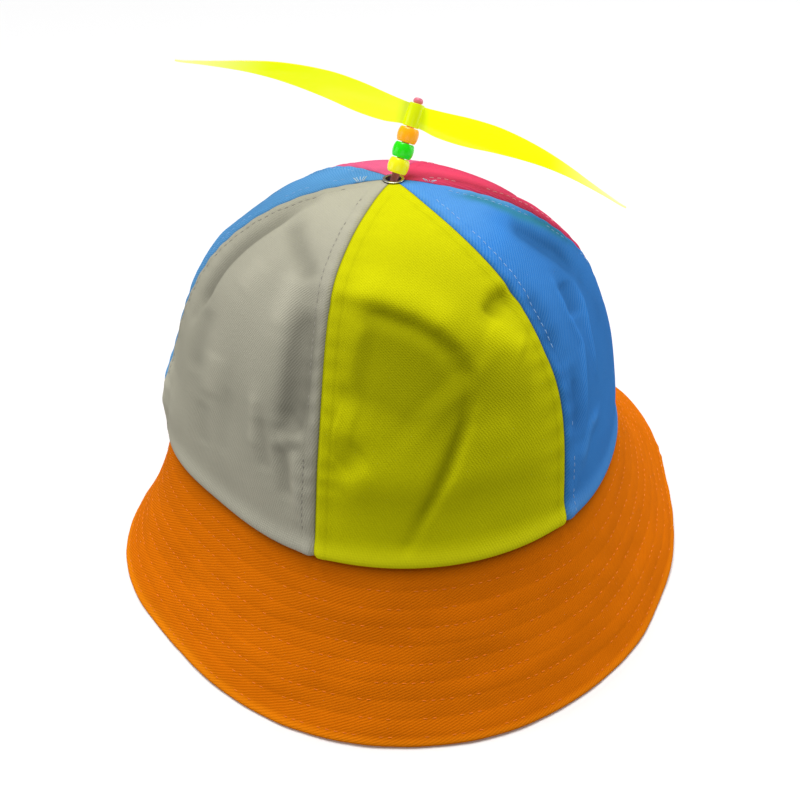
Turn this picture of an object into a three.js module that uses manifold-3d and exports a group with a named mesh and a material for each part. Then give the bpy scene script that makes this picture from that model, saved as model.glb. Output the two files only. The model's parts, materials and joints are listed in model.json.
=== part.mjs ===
// Propeller hat: a soft crown of six coloured panels on a drooping stitched brim,
// with a beaded stick through an eyelet at the top and a two-blade propeller on it.
// Millimetres, +Z up, front at -Y. Azimuths are degrees from the front towards +X.
// A rise is 0 at the crown's lower edge and 1 at its top.

import * as THREE from 'three';
import { mergeVertices } from 'three/addons/utils/BufferGeometryUtils.js';
import Module from 'manifold-3d';

const wasm = await Module();
wasm.setup();

// Clearances
const gap = 0.3; // between neighbouring pieces at rest
const boreClearance = 0.3; // round the stick, in the beads and in the hub

// Crown, measured outside the cloth
const crownRadius = 90; // mean, at the lower edge: a head of about 56 cm
const crownHeight = 105.5; // lower edge to top
const crownWall = 1.4;
const seamDepth = 0.9; // how far the cloth dips into a seam
const seamWidth = 2.6; // from the seam to where the dip has mostly gone

// Brim
const brimWidth = 66.8; // along the slope
const brimThickness = 2.4; // two layers of cloth and their interlining
const brimSlope = 65.1; // degrees below level, where the brim touches the ground
const collarHeight = 8; // seam allowance turned up inside the crown
const collarThickness = 1.2;

// Eyelet in the top of the crown
const eyeletBore = 2.9; // radius
const eyeletWall = 0.3; // its barrel
const flangeWidth = 0.75; // beyond the barrel
const flangeThickness = 0.4;

// Stick, leaning over in the loose eyelet
const stickRadius = 1.4;
const stickLean = 27.5; // degrees from upright
const stickLeanAzimuth = 129.4;
const tipRadius = 1.8; // rounded end that holds the propeller on
const tipHeight = 1.8;
const tipStraight = 0.25; // share of its height before it rounds off
const tipRoundness = 0.6; // power: under 1, squarer than a dome
const stopRadius = 3.4; // plain hidden head under the eyelet
const stopThickness = 1.5;

// Beads on the stick
const beadRadius = 3.85;
const beadHeight = 5.3;
const beadEnd = 3; // radius of a bead's flat end

// Propeller
const hubLength = 8.3;
const hubBottomRadius = 3;
const hubTopRadius = 2.75;
const bladeReach = 84.5; // axis to tip
const bladeChord = 10.5; // at the widest
const bladeThickness = 0.9;
const bladeCamber = 0.7;
const propellerTurn = -48.3; // degrees about the stick, from its downhill side

// Crown profile: powers and shares that give the flattened dome its outline
const shoulder = 1.056; // power of the closing-in towards the top
const upright = 0.86; // power of the height: under 1, the side starts upright
const fullness = 0.052; // share of the radius, widest half way up
const waist = -0.038; // share of the radius, taken off above and added below
const apexShift = { x: -0.048, y: -0.008 }; // share of crownRadius
const roundTop = 12; // power with which the outline turns into a circle at the top

// Every 30 degrees of azimuth from the front: the lower edge's radius and the side's
// swelling, both as shares of crownRadius, then as shares of brimWidth how far the
// brim's edge is lifted off the ground, how far the brim is hollowed half way out,
// and how wide it is there
const aroundTable = [
  { edge: 1.014, belly: -0.004, lift: 0.004, hollow: 0.012, wide: 1 },
  { edge: 0.988, belly: 0.009, lift: 0, hollow: 0.012, wide: 1 },
  { edge: 0.949, belly: 0.021, lift: 0.006, hollow: 0.008, wide: 1.015 },
  { edge: 0.969, belly: 0.041, lift: 0.075, hollow: 0.004, wide: 1.006 },
  { edge: 0.981, belly: 0.001, lift: 0.25, hollow: 0, wide: 1 },
  { edge: 0.994, belly: -0.006, lift: 0.15, hollow: 0.004, wide: 1 },
  { edge: 1.01, belly: -0.003, lift: 0.06, hollow: 0.01, wide: 1 },
  { edge: 1.028, belly: 0, lift: 0, hollow: 0.02, wide: 1 },
  { edge: 1.035, belly: -0.016, lift: 0, hollow: 0.034, wide: 1 },
  { edge: 1.05, belly: -0.022, lift: 0, hollow: 0.034, wide: 1 },
  { edge: 0.977, belly: -0.006, lift: 0, hollow: 0.02, wide: 1 },
  { edge: 1.011, belly: -0.006, lift: 0, hollow: 0.014, wide: 1 },
];

// Seam between a panel and the one before it: azimuths at rises 0, 1/3, 2/3 and 1
const panelTable = [
  { name: 'panel_yellow', color: 0xdfe000, seam: [-30, -29, -33, -38] },
  { name: 'panel_blue', color: 0x3f86cf, seam: [31, 34, 30.5, 25.5] },
  { name: 'panel_red', color: 0xe63a66, seam: [95, 92, 83.5, 83] },
  { name: 'panel_pink', color: 0xe6507f, seam: [150, 150, 154, 160] },
  { name: 'panel_light_blue', color: 0x5aa8e6, seam: [210, 208, 205, 203] },
  { name: 'panel_grey', color: 0xb9b3a1, seam: [266, 264, 261.5, 256] },
];

// Dents and ridges in the cloth, each a straight stroke between two places given as
// azimuth and rise. width is a share of crownRadius, and depth too (inwards if negative)
const foldTable = [
  { from: [-22, 0.57], to: [-6, 0.52], width: 0.075, depth: -0.022 }, // yellow, across
  { from: [-6, 0.52], to: [7, 0.42], width: 0.075, depth: -0.03 },
  { from: [7, 0.42], to: [7, 0.28], width: 0.07, depth: -0.034 },
  { from: [7, 0.28], to: [-9, 0.03], width: 0.06, depth: -0.026 },
  { from: [-24, 0.65], to: [4, 0.59], width: 0.1, depth: 0.016 }, // ridge above it
  { from: [17, 0.4], to: [12, 0.12], width: 0.1, depth: 0.018 }, // ridge to its right
  { from: [-22, 0.3], to: [-20, 0.14], width: 0.09, depth: 0.012 },
  { from: [26, 0.47], to: [36, 0.55], width: 0.06, depth: -0.02 }, // across the blue seam
  { from: [-90, 0.78], to: [-86, 0.42], width: 0.05, depth: -0.022 }, // grey, by its seam
  { from: [-66, 0.68], to: [-50, 0.63], width: 0.07, depth: -0.018 },
  { from: [-38, 0.5], to: [-35, 0.24], width: 0.06, depth: -0.03 },
  { from: [-35, 0.24], to: [-38, 0.08], width: 0.05, depth: -0.02 },
  { from: [-52, 0.32], to: [-44, 0.1], width: 0.06, depth: 0.016 },
  { from: [-66, 0.35], to: [-58, 0.12], width: 0.07, depth: -0.014 },
  { from: [-112, 0.12], to: [-88, 0.07], width: 0.12, depth: 0.034 }, // bulge at its side
  { from: [62, 0.6], to: [52, 0.36], width: 0.08, depth: -0.02 }, // blue
  { from: [52, 0.36], to: [50, 0.1], width: 0.06, depth: -0.012 },
  { from: [108, 0.62], to: [118, 0.2], width: 0.1, depth: -0.014 }, // red
  { from: [172, 0.6], to: [182, 0.25], width: 0.1, depth: -0.014 }, // pink
  { from: [232, 0.6], to: [240, 0.2], width: 0.1, depth: -0.016 }, // light blue
];
const foldStart = 0.05; // rise below which the folds fade out into the lower edge
const foldEnd = 0.85; // rise above which they have faded out towards the eyelet

// Blade, by share of its reach: chord as a share of bladeChord, pitch in degrees, and the
// height of its middle above the hub's bottom as a share of hubLength
const bladeTable = [
  { reach: 0, chord: 0.5, pitch: 80, rise: 0.36 },
  { reach: 0.05, chord: 0.58, pitch: 80, rise: 0.38 },
  { reach: 0.12, chord: 0.89, pitch: 79, rise: 0.42 },
  { reach: 0.24, chord: 1, pitch: 76, rise: 0.52 },
  { reach: 0.36, chord: 0.94, pitch: 69, rise: 0.61 },
  { reach: 0.48, chord: 0.83, pitch: 59, rise: 0.59 },
  { reach: 0.6, chord: 0.69, pitch: 49, rise: 0.49 },
  { reach: 0.72, chord: 0.51, pitch: 41, rise: 0.28 },
  { reach: 0.84, chord: 0.3, pitch: 34, rise: -0.02 },
  { reach: 0.94, chord: 0.15, pitch: 30, rise: -0.27 },
  { reach: 1, chord: 0.09, pitch: 28, rise: -0.44 },
];

// Numbers of flats
const panelColumns = 12;
const panelRows = 13;
const columnCrowding = 0.7; // how much closer the columns are by a seam, from 0 to 1
const rowCrowding = 1.1; // over 1, the rows are closer together lower down
const beadSides = 14;
const stickSides = 14;
const eyeletSides = 20;
const hubSides = 18;
const bladeSteps = 13;

const { degToRad, lerp, smoothstep, clamp } = THREE.MathUtils;

// Smooth value between four neighbouring table entries
function blend(before, a, b, after, share) {
  const slopeA = (b - before) / 2;
  const slopeB = (after - a) / 2;
  const s2 = share * share;
  const s3 = s2 * share;
  return a * (2 * s3 - 3 * s2 + 1) + slopeA * (s3 - 2 * s2 + share)
    + b * (3 * s2 - 2 * s3) + slopeB * (s3 - s2);
}

// Smooth value of a column of aroundTable at an azimuth
function around(column, azimuth) {
  const count = aroundTable.length;
  const place = THREE.MathUtils.euclideanModulo(azimuth, 360) / 360 * count;
  const index = Math.floor(place);
  const entry = (step) => aroundTable[(index + step + count) % count][column];
  return blend(entry(-1), entry(0), entry(1), entry(2), place - index);
}

// Smooth value of an evenly spaced list at a share from 0 to 1
function along(values, share) {
  const place = clamp(share, 0, 1) * (values.length - 1);
  const index = Math.min(Math.floor(place), values.length - 2);
  const entry = (step) => values[clamp(index + step, 0, values.length - 1)];
  return blend(entry(-1), entry(0), entry(1), entry(2), place - index);
}

// One closed body from points and triangles, turned so that its faces point outwards
function closedBody(points, triangles) {
  const volume = triangles.reduce((sum, [a, b, c]) => {
    const cross = points[b].clone().cross(points[c]);
    return sum + points[a].dot(cross);
  }, 0);
  const order = volume > 0 ? triangles : triangles.map(([a, b, c]) => [a, c, b]);
  const geometry = new THREE.BufferGeometry().setFromPoints(points);
  geometry.setIndex(order.flat());
  geometry.computeVertexNormals();
  return geometry;
}

// Two triangles across four corners
function quad(a, b, c, d) {
  return [[a, b, c], [a, c, d]];
}

// Skin over closed sections with equally many points, with flat ends or joined to a ring
function loft(sections, joined) {
  const size = sections[0].length;
  const points = sections.flat();
  const triangles = [];
  const last = joined ? sections.length : sections.length - 1;
  for (let s = 0; s < last; s++) {
    const here = s * size;
    const next = ((s + 1) % sections.length) * size;
    for (let k = 0; k < size; k++) {
      const k2 = (k + 1) % size;
      triangles.push(...quad(here + k, here + k2, next + k2, next + k));
    }
  }
  if (!joined) {
    const end = (sections.length - 1) * size;
    for (let k = 1; k < size - 1; k++) {
      triangles.push([0, k + 1, k], [end, end + k, end + k + 1]);
    }
  }
  return closedBody(points, triangles);
}

// Turned body from a closed outline of [radius, height] points
function turned(outline, sides) {
  const profile = [...outline, outline[0]].map(([r, h]) => new THREE.Vector2(r, h));
  const geometry = new THREE.LatheGeometry(profile, sides);
  geometry.rotateX(Math.PI / 2);
  return joinedPoints(geometry);
}

function joinedPoints(geometry) {
  geometry.deleteAttribute('normal');
  geometry.deleteAttribute('uv');
  const merged = mergeVertices(geometry, 1e-4);
  const points = [];
  for (let i = 0; i < merged.attributes.position.count; i++) {
    points.push(new THREE.Vector3().fromBufferAttribute(merged.attributes.position, i));
  }
  const index = merged.index.array;
  const triangles = [];
  for (let i = 0; i < index.length; i += 3) {
    const [a, b, c] = [index[i], index[i + 1], index[i + 2]];
    if (a !== b && b !== c && c !== a) triangles.push([a, b, c]);
  }
  return closedBody(points, triangles);
}

function toManifold(geometry) {
  return new wasm.Manifold(new wasm.Mesh({
    numProp: 3,
    vertProperties: new Float32Array(geometry.attributes.position.array),
    triVerts: new Uint32Array(geometry.index.array),
  }));
}

function fromManifold(solid) {
  const mesh = solid.getMesh();
  const geometry = new THREE.BufferGeometry();
  geometry.setAttribute('position', new THREE.BufferAttribute(mesh.vertProperties, 3));
  geometry.setIndex(Array.from(mesh.triVerts));
  geometry.computeVertexNormals();
  return geometry;
}

function cloth(color) {
  return new THREE.MeshStandardMaterial({ color, roughness: 0.95, metalness: 0 });
}

function plastic(color) {
  return new THREE.MeshStandardMaterial({ color, roughness: 0.25, metalness: 0 });
}

function piece(name, geometry, material) {
  const mesh = new THREE.Mesh(geometry, material);
  mesh.name = name;
  return mesh;
}

// Crown cloth
// Height above the lower edge at a rise, and the rise at a height
function heightAt(rise) {
  return crownHeight * Math.sin(rise * Math.PI / 2) ** upright;
}

function riseAt(height) {
  return Math.asin((height / crownHeight) ** (1 / upright)) * 2 / Math.PI;
}

// Point of the dome without its folds and seams
function domePoint(azimuth, rise) {
  const tilt = rise * Math.PI / 2;
  const up = heightAt(rise) / crownHeight;
  const edge = lerp(around('edge', azimuth), 1, up ** roundTop);
  const swelling = (fullness + around('belly', azimuth)) * Math.sin(2 * tilt)
    + waist * Math.sin(4 * tilt);
  const radius = crownRadius * edge * Math.max(Math.cos(tilt), 0) ** shoulder * (1 + swelling);
  const turn = degToRad(azimuth);
  return new THREE.Vector3(
    radius * Math.sin(turn) + apexShift.x * crownRadius * up,
    -radius * Math.cos(turn) + apexShift.y * crownRadius * up,
    crownHeight * up,
  );
}

// Outward direction of the dome
function domeNormal(azimuth, rise) {
  const step = 0.004;
  const low = domePoint(azimuth, Math.max(rise - step, 0));
  const high = domePoint(azimuth, rise + step);
  const left = domePoint(azimuth - 1, rise);
  const right = domePoint(azimuth + 1, rise);
  return right.sub(left).cross(high.sub(low)).normalize();
}

// Distance over the cloth from a place to a fold's line, near enough for a fold
function distanceToFold(fold, azimuth, rise) {
  const circle = crownRadius * Math.cos(rise * Math.PI / 2);
  const side = (a) => degToRad(THREE.MathUtils.euclideanModulo(a - azimuth + 180, 360) - 180) * circle;
  const climb = (r) => (r - rise) * crownRadius * Math.PI / 2;
  const start = new THREE.Vector2(side(fold.from[0]), climb(fold.from[1]));
  const line = new THREE.Vector2(side(fold.to[0]), climb(fold.to[1])).sub(start);
  const share = clamp(-start.dot(line) / line.lengthSq(), 0, 1);
  return start.addScaledVector(line, share).length();
}

// How far the folds push the cloth out: where strokes meet, the strongest one counts
function foldOffset(azimuth, rise) {
  let out = 0;
  let into = 0;
  for (const fold of foldTable) {
    const reach = distanceToFold(fold, azimuth, rise) / (fold.width * crownRadius);
    const depth = fold.depth * crownRadius * Math.exp(-reach * reach);
    out = Math.max(out, depth);
    into = Math.min(into, depth);
  }
  const fade = smoothstep(rise, 0, foldStart) * (1 - smoothstep(rise, foldEnd - foldStart, foldEnd));
  return (out + into) * fade;
}

function seamAzimuth(panel, rise) {
  const turns = Math.floor(panel / panelTable.length);
  return along(panelTable[panel % panelTable.length].seam, rise) + 360 * turns;
}

// Outer side of the cloth: a place `inward` mm from the nearest seam dips into it
function crownPoint(azimuth, rise, inward, depth) {
  const point = domePoint(azimuth, rise);
  const normal = domeNormal(azimuth, rise);
  const dipFade = 1 - smoothstep(rise, foldEnd, 1);
  const dip = seamDepth * Math.exp(-((inward / seamWidth) ** 2)) * dipFade;
  point.addScaledVector(normal, foldOffset(azimuth, rise) - dip);
  const inner = point.clone().addScaledVector(normal, -depth);
  if (rise === 0) inner.z = point.z;
  return inner;
}

// Radius of the hole that the eyelet's barrel passes through
const barrelRadius = eyeletBore + eyeletWall;
const crownHole = barrelRadius + gap;

function radiusFromApex(azimuth, rise) {
  const point = domePoint(azimuth, rise);
  const up = point.z / crownHeight;
  return Math.hypot(point.x - apexShift.x * crownRadius * up, point.y - apexShift.y * crownRadius * up);
}

// Rise at which the cloth reaches the eyelet's hole
function topRise(azimuth) {
  let low = 0.5;
  let high = 1;
  for (let i = 0; i < 40; i++) {
    const middle = (low + high) / 2;
    if (radiusFromApex(azimuth, middle) > crownHole) low = middle;
    else high = middle;
  }
  return low;
}

// Places across a panel: close together by its seams, where the cloth dips
function columnShare(column) {
  const share = column / panelColumns;
  return share - columnCrowding * Math.sin(2 * Math.PI * share) / (2 * Math.PI);
}

// Azimuth of a panel's column at a rise, and its distance from the nearer seam in mm
function columnPlace(panel, column, rise) {
  const start = seamAzimuth(panel, rise);
  const width = seamAzimuth(panel + 1, rise) - start;
  const perDegree = degToRad(1) * Math.max(radiusFromApex(start, rise), crownHole);
  const edge = gap / 2 / perDegree;
  const across = edge + (width - 2 * edge) * columnShare(column);
  const inward = Math.min(across, width - across) * perDegree;
  return { azimuth: start + across, inward };
}

// The first row above the lower edge lies at the top of the brim's collar
const collarRise = riseAt(collarHeight);

function rowRise(row, top) {
  if (row === 0) return 0;
  return lerp(collarRise, top, ((row - 1) / (panelRows - 1)) ** rowCrowding);
}

function panelGeometry(panel) {
  const outer = [];
  const inner = [];
  for (let row = 0; row <= panelRows; row++) {
    for (let column = 0; column <= panelColumns; column++) {
      const rise = rowRise(row, topRise(columnPlace(panel, column, 1).azimuth));
      const { azimuth, inward } = columnPlace(panel, column, rise);
      outer.push(crownPoint(azimuth, rise, inward, 0));
      inner.push(crownPoint(azimuth, rise, inward, crownWall));
    }
  }
  const across = panelColumns + 1;
  const size = outer.length;
  const triangles = [];
  for (let row = 0; row < panelRows; row++) {
    for (let column = 0; column < panelColumns; column++) {
      const a = row * across + column;
      triangles.push(...quad(a, a + 1, a + across + 1, a + across));
      triangles.push(...quad(size + a, size + a + across, size + a + across + 1, size + a + 1));
    }
  }
  // Edge strips between the outer and the inner side, all the way round
  const rim = [];
  for (let column = 0; column < panelColumns; column++) rim.push(column);
  for (let row = 0; row < panelRows; row++) rim.push(row * across + panelColumns);
  for (let column = panelColumns; column > 0; column--) rim.push(panelRows * across + column);
  for (let row = panelRows; row > 0; row--) rim.push(row * across);
  rim.forEach((a, i) => {
    const b = rim[(i + 1) % rim.length];
    triangles.push(...quad(b, a, size + a, size + b));
  });
  return closedBody([...outer, ...inner], triangles);
}

// Brim
// How far the brim falls, from the crown's lower edge to the ground
const brimFall = brimWidth * Math.sin(degToRad(brimSlope));
const crownBase = brimFall + gap;

// Section of the brim and its collar below one place of the crown's lower edge
function brimSection(panel, column) {
  const low = columnPlace(panel, column, 0);
  const high = columnPlace(panel, column, collarRise);
  const wallInside = crownWall + gap;
  const lower = (depth) => crownPoint(low.azimuth, 0, low.inward, depth);
  const upper = (depth) => crownPoint(high.azimuth, collarRise, high.inward, depth);
  const turn = degToRad(low.azimuth);
  const outwards = new THREE.Vector3(Math.sin(turn), -Math.cos(turn), 0);
  const lift = Math.max(around('lift', low.azimuth), 0) * brimWidth;
  const width = around('wide', low.azimuth) * brimWidth;
  const fall = brimFall - lift;
  const reach = Math.sqrt(width ** 2 - fall ** 2);
  const levelThickness = brimThickness * width / fall;
  // The underside runs up beside the top side until it meets the collar
  const underside = (levelThickness - wallInside - collarThickness) / reach * fall;
  // The crown's seams don't show in the brim's outer half
  const smoothEdge = crownPoint(low.azimuth, 0, Infinity, 0);
  const hollow = around('hollow', low.azimuth) * brimWidth;
  const half = (inside) => smoothEdge.clone()
    .addScaledVector(outwards, reach / 2 - hollow * fall / width - inside)
    .setZ(brimFall - fall / 2 - hollow * reach / width);
  // In this order the collar's flats lie along the panels' own
  return [
    lower(wallInside).setZ(brimFall),
    upper(wallInside).setZ(crownBase + collarHeight),
    upper(wallInside + collarThickness).setZ(crownBase + collarHeight),
    lower(wallInside + collarThickness).setZ(brimFall - underside),
    half(levelThickness),
    smoothEdge.clone().addScaledVector(outwards, reach - levelThickness).setZ(lift),
    smoothEdge.clone().addScaledVector(outwards, reach).setZ(lift),
    half(0),
    lower(0).setZ(brimFall),
  ];
}

function brimGeometry() {
  const sections = [];
  for (let panel = 0; panel < panelTable.length; panel++) {
    for (let column = 0; column < panelColumns; column++) {
      sections.push(brimSection(panel, column));
    }
  }
  return loft(sections, true);
}

// Eyelet, about the middle of the cloth that it clamps
const flangeRadius = barrelRadius + flangeWidth;
const flangeEdge = flangeRadius - flangeThickness / 2; // radius of its flat face
const eyeletHalf = crownWall / 2 + gap + flangeThickness;

function eyeletGeometry() {
  const under = eyeletHalf - flangeThickness;
  return turned([
    [eyeletBore, -under],
    [eyeletBore + eyeletWall, -eyeletHalf],
    [flangeEdge, -eyeletHalf],
    [flangeRadius, -under],
    [barrelRadius, -under],
    [barrelRadius, under],
    [flangeRadius, under],
    [flangeEdge, eyeletHalf],
    [eyeletBore + eyeletWall, eyeletHalf],
    [eyeletBore, under],
  ], eyeletSides);
}

// Stick and what is strung on it, measured along it from the middle of the eyelet
const lean = degToRad(stickLean);
const seat = flangeEdge * Math.sin(lean) + eyeletHalf * Math.cos(lean) + gap;
const beadTable = [
  { name: 'bead_yellow', color: 0xe6e61e },
  { name: 'bead_green', color: 0x2fdc10 },
  { name: 'bead_orange', color: 0xff9d14 },
];
const hubStart = seat + beadTable.length * (beadHeight + gap);
const tipStart = hubStart + hubLength + gap;
const boreRadius = stickRadius + boreClearance;

function stickGeometry() {
  const outline = [
    [0, -seat - stopThickness],
    [stopRadius, -seat - stopThickness],
    [stopRadius, -seat],
    [stickRadius, -seat],
    [stickRadius, tipStart],
    [tipRadius, tipStart],
  ];
  const tipSteps = 4;
  for (let i = 1; i <= tipSteps; i++) {
    const turn = i / tipSteps * Math.PI / 2;
    const radius = i === tipSteps ? 0 : tipRadius * Math.cos(turn) ** tipRoundness;
    outline.push([radius, tipStart + tipHeight * lerp(tipStraight, 1, Math.sin(turn))]);
  }
  return turned(outline, stickSides);
}

function beadGeometry() {
  const outline = [[boreRadius, 0]];
  const steps = 6;
  for (let i = 0; i <= steps; i++) {
    const share = i / steps;
    const swell = Math.sin(Math.PI * share) ** 0.5;
    outline.push([lerp(beadEnd, beadRadius, swell), beadHeight * share]);
  }
  outline.push([boreRadius, beadHeight]);
  return turned(outline, beadSides);
}

// Propeller, about the bottom of its hub, with one blade along +X
function bladeAt(reach) {
  const next = bladeTable.findIndex((row) => row.reach >= reach);
  const b = bladeTable[Math.max(next, 1)];
  const a = bladeTable[Math.max(next, 1) - 1];
  const share = (reach - a.reach) / (b.reach - a.reach);
  const between = (column) => lerp(a[column], b[column], share);
  return { chord: between('chord'), pitch: between('pitch'), rise: between('rise') };
}

function bladeSection(reach) {
  const { chord, pitch, rise } = bladeAt(reach);
  const turn = degToRad(pitch);
  const width = chord * bladeChord;
  const across = new THREE.Vector3(0, Math.cos(turn), Math.sin(turn));
  const face = new THREE.Vector3(0, -Math.sin(turn), Math.cos(turn));
  const middle = new THREE.Vector3(reach * bladeReach, 0, rise * hubLength);
  const places = [-0.5, -0.25, 0, 0.25, 0.5];
  const point = (place, side) => {
    const bow = bladeCamber * chord * (1 - 4 * place * place);
    const edgeThinning = Math.abs(place) === 0.5 ? 0.5 : 1;
    const half = bladeThickness / 2 * edgeThinning * Math.min(1, 0.4 + chord);
    return middle.clone().addScaledVector(across, place * width)
      .addScaledVector(face, bow + side * half);
  };
  return [
    ...places.map((place) => point(place, -1)),
    ...[...places].reverse().map((place) => point(place, 1)),
  ];
}

function propellerGeometry() {
  const sections = [];
  for (let i = 0; i <= bladeSteps; i++) sections.push(bladeSection(i / bladeSteps));
  const blade = loft(sections, false);
  const hub = turned([
    [0, 0], [hubBottomRadius, 0], [hubTopRadius, hubLength], [0, hubLength],
  ], hubSides);
  const past = 1;
  const bore = turned([
    [0, -past], [boreRadius, -past], [boreRadius, hubLength + past], [0, hubLength + past],
  ], stickSides);
  const solid = toManifold(hub)
    .add(toManifold(blade))
    .add(toManifold(blade.clone().rotateZ(Math.PI)))
    .subtract(toManifold(bore));
  return fromManifold(solid);
}

// Assembly, with the brim's lowest edge at height 0
const hat = new THREE.Group();

const crown = new THREE.Group();
crown.position.z = crownBase;
hat.add(crown);
panelTable.forEach(({ name, color }, panel) => {
  crown.add(piece(name, panelGeometry(panel), cloth(color)));
});

hat.add(piece('brim', brimGeometry(), cloth(0xd97a0c)));

// The eyelet sits in the middle of the cloth at the crown's hole
const holeRise = topRise(0);
const eyeletPlace = new THREE.Vector3(
  apexShift.x * crownRadius,
  apexShift.y * crownRadius,
  crownBase + heightAt(holeRise) - crownWall / 2,
);
const metal = new THREE.MeshStandardMaterial({ color: 0xc9c7c0, roughness: 0.3, metalness: 1 });
const eyelet = piece('eyelet', eyeletGeometry(), metal);
eyelet.position.copy(eyeletPlace);
hat.add(eyelet);

const mast = new THREE.Group();
mast.position.copy(eyeletPlace);
mast.rotation.set(0, lean, degToRad(stickLeanAzimuth - 90), 'ZYX');
hat.add(mast);
mast.add(piece('stick', stickGeometry(), plastic(0xe8708c)));
beadTable.forEach(({ name, color }, place) => {
  const bead = piece(name, beadGeometry(), plastic(color));
  bead.position.z = seat + place * (beadHeight + gap);
  mast.add(bead);
});
const propeller = piece('propeller', propellerGeometry(), plastic(0xeaf600));
propeller.position.z = hubStart;
propeller.rotation.z = degToRad(propellerTurn);
mast.add(propeller);

// Origin below the middle of the whole hat, on the ground
hat.updateMatrixWorld(true);
const box = new THREE.Box3().setFromObject(hat, true);
hat.position.set(-(box.min.x + box.max.x) / 2, -(box.min.y + box.max.y) / 2, -box.min.z);

export default hat;
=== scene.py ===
import json
import math

import bpy
import numpy as np
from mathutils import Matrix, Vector, noise


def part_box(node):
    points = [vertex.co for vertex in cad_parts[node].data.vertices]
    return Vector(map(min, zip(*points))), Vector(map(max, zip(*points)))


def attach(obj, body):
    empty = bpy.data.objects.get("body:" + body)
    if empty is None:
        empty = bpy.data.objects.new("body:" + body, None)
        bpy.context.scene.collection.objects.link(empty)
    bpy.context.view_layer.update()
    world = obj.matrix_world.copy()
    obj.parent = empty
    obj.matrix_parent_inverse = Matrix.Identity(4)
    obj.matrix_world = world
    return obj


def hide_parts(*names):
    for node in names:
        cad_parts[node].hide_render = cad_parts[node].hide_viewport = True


# Looks of the propeller hat. Metres. Azimuths are degrees from the front (-Y) towards +X.
# A rise is 0 at the crown's lower edge and 1 at its top, as in the hat's own model.

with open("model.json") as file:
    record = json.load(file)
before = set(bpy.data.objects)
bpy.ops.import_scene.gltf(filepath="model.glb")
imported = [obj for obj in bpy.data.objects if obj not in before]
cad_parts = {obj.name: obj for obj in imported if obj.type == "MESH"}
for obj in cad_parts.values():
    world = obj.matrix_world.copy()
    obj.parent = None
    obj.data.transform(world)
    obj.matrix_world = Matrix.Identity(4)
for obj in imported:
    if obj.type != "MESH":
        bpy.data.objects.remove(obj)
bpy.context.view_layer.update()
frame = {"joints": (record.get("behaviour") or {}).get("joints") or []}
MM = 0.001

# Sizes that the solids have too
CROWN_RADIUS = 90 * MM
CROWN_HEIGHT = 105.5 * MM
CROWN_WALL = 1.4 * MM
GAP = 0.3 * MM
SEAM_DEPTH = 0.9 * MM
BRIM_WIDTH = 66.8 * MM
BRIM_THICKNESS = 2.4 * MM
BRIM_SLOPE = 65.1
COLLAR_HEIGHT = 8 * MM
COLLAR_THICKNESS = 1.2 * MM
SHOULDER = 1.056
UPRIGHT = 0.86
FULLNESS = 0.052
WAIST = -0.038
APEX_SHIFT = np.array([-0.048, -0.008])
ROUND_TOP = 12
EYELET_BORE = 2.9 * MM
BARREL_RADIUS = 3.2 * MM
FLANGE_RADIUS = 3.95 * MM
EYELET_ROUNDING = 0.24 * MM
STICK_RADIUS = 1.4 * MM
STICK_BORE = 1.7 * MM
STOP_RADIUS = 3.4 * MM
STOP_THICKNESS = 1.5 * MM
TIP_RADIUS = 1.8 * MM
TIP_HEIGHT = 1.8 * MM
BEAD_RADIUS = 3.85 * MM
BEAD_HEIGHT = 5.3 * MM
BEAD_END = 3 * MM
FLANGE_THICKNESS = 0.4 * MM
HUB_LENGTH = 8.3 * MM
HUB_BOTTOM_RADIUS = 3 * MM
HUB_TOP_RADIUS = 2.75 * MM
BLADE_REACH = 84.5 * MM
BLADE_CHORD = 10.5 * MM
BLADE_THICKNESS = 0.9 * MM
BLADE_CAMBER = 0.7 * MM
PROPELLER_TURN = -48.3
CROWN_HOLE = BARREL_RADIUS + GAP
BRIM_FALL = BRIM_WIDTH * math.sin(math.radians(BRIM_SLOPE))

# Places read from the frame
eyelet_low, eyelet_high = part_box("eyelet")
EYELET = np.array((eyelet_low + eyelet_high) / 2)
CROWN_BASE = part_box("panel_yellow")[0].z
CENTRE = np.array([*(EYELET[:2] - APEX_SHIFT * CROWN_RADIUS), CROWN_BASE])
SPIN = frame["joints"][0]
STICK_AXIS = np.array(SPIN["axis"]) / np.linalg.norm(SPIN["axis"])

# Heights along the stick, from the middle of the eyelet
EYELET_HALF = CROWN_WALL / 2 + GAP + FLANGE_THICKNESS
LEAN = math.acos(STICK_AXIS[2])
FLANGE_EDGE = FLANGE_RADIUS - FLANGE_THICKNESS / 2
SEAT = FLANGE_EDGE * math.sin(LEAN) + EYELET_HALF * math.cos(LEAN) + GAP
HUB_START = SEAT + 3 * (BEAD_HEIGHT + GAP)
TIP_START = HUB_START + HUB_LENGTH + GAP

# Every 30 degrees of azimuth from the front: shares of CROWN_RADIUS, then of BRIM_WIDTH
AROUND = {
    "edge": [1.014, 0.988, 0.949, 0.969, 0.981, 0.994, 1.01, 1.028, 1.035, 1.05, 0.977, 1.011],
    "belly": [-0.004, 0.009, 0.021, 0.041, 0.001, -0.006, -0.003, 0, -0.016, -0.022, -0.006, -0.006],
    "lift": [0.004, 0, 0.006, 0.075, 0.25, 0.15, 0.06, 0, 0, 0, 0, 0],
    "hollow": [0.012, 0.012, 0.008, 0.004, 0, 0.004, 0.01, 0.02, 0.034, 0.034, 0.02, 0.014],
    "wide": [1, 1, 1.015, 1.006, 1, 1, 1, 1, 1, 1, 1, 1],
}

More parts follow.
